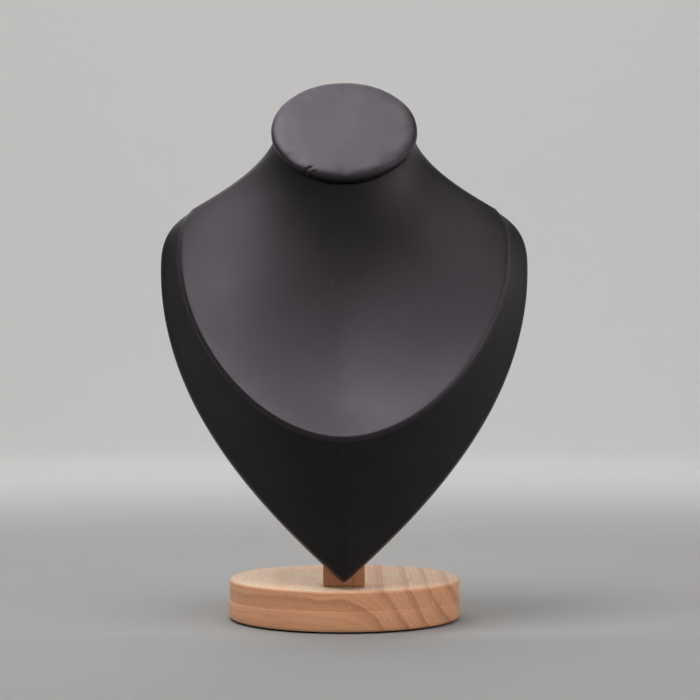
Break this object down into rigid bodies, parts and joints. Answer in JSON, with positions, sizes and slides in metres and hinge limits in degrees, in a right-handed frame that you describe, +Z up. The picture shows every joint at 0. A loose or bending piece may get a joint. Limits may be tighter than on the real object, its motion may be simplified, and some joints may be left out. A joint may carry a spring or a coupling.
{
  "type": "necklace display bust",
  "caption": "Leather-covered neck-and-chest display bust with a padded oval cap, lifted onto a wooden post on a round wooden base.",
  "frame": {"origin": "centre of the underside of the foot pad, where the base stands on the table", "axes": "+Z up; the front of the bust faces -Y, so +X is to the viewer's right"},
  "size_m": [0.184, 0.1211, 0.2696],
  "materials": {
    "pad": "black closed-cell foam, matt",
    "base_wood": "pale hardwood, sanded and thinly oiled",
    "post_wood": "pale hardwood, sanded and thinly oiled",
    "steel": "zinc plated",
    "core": "moulded, unpainted",
    "board": "fibreboard, raw",
    "block_wood": "sawn softwood, raw",
    "bust_leather": "fine-grained matt black leatherette",
    "back_leather": "fine-grained matt black leatherette",
    "cap_leather": "fine-grained matt black leatherette over foam",
    "foam": "open-cell foam"
  },
  "bodies": {
    "base": {"foot_pad": "pad", "base_disc": "base_wood", "base_screws": "steel", "post": "post_wood"},
    "bust": {"core_shell": "core", "back_board": "board", "board_screws": "steel", "socket_block": "block_wood", "neck_plug": "block_wood", "bib_cover": "bust_leather", "skirt_cover": "bust_leather", "back_cover": "back_leather", "cap_board": "board", "cap_screws": "steel", "cap_foam": "foam", "cap_cover": "cap_leather"}
  },
  "joints": [
    {"name": "bust_lift", "type": "slide", "parent": "base", "child": "bust", "axis": [0, 0, 1], "range_m": [0, 0.075]}
  ]
}
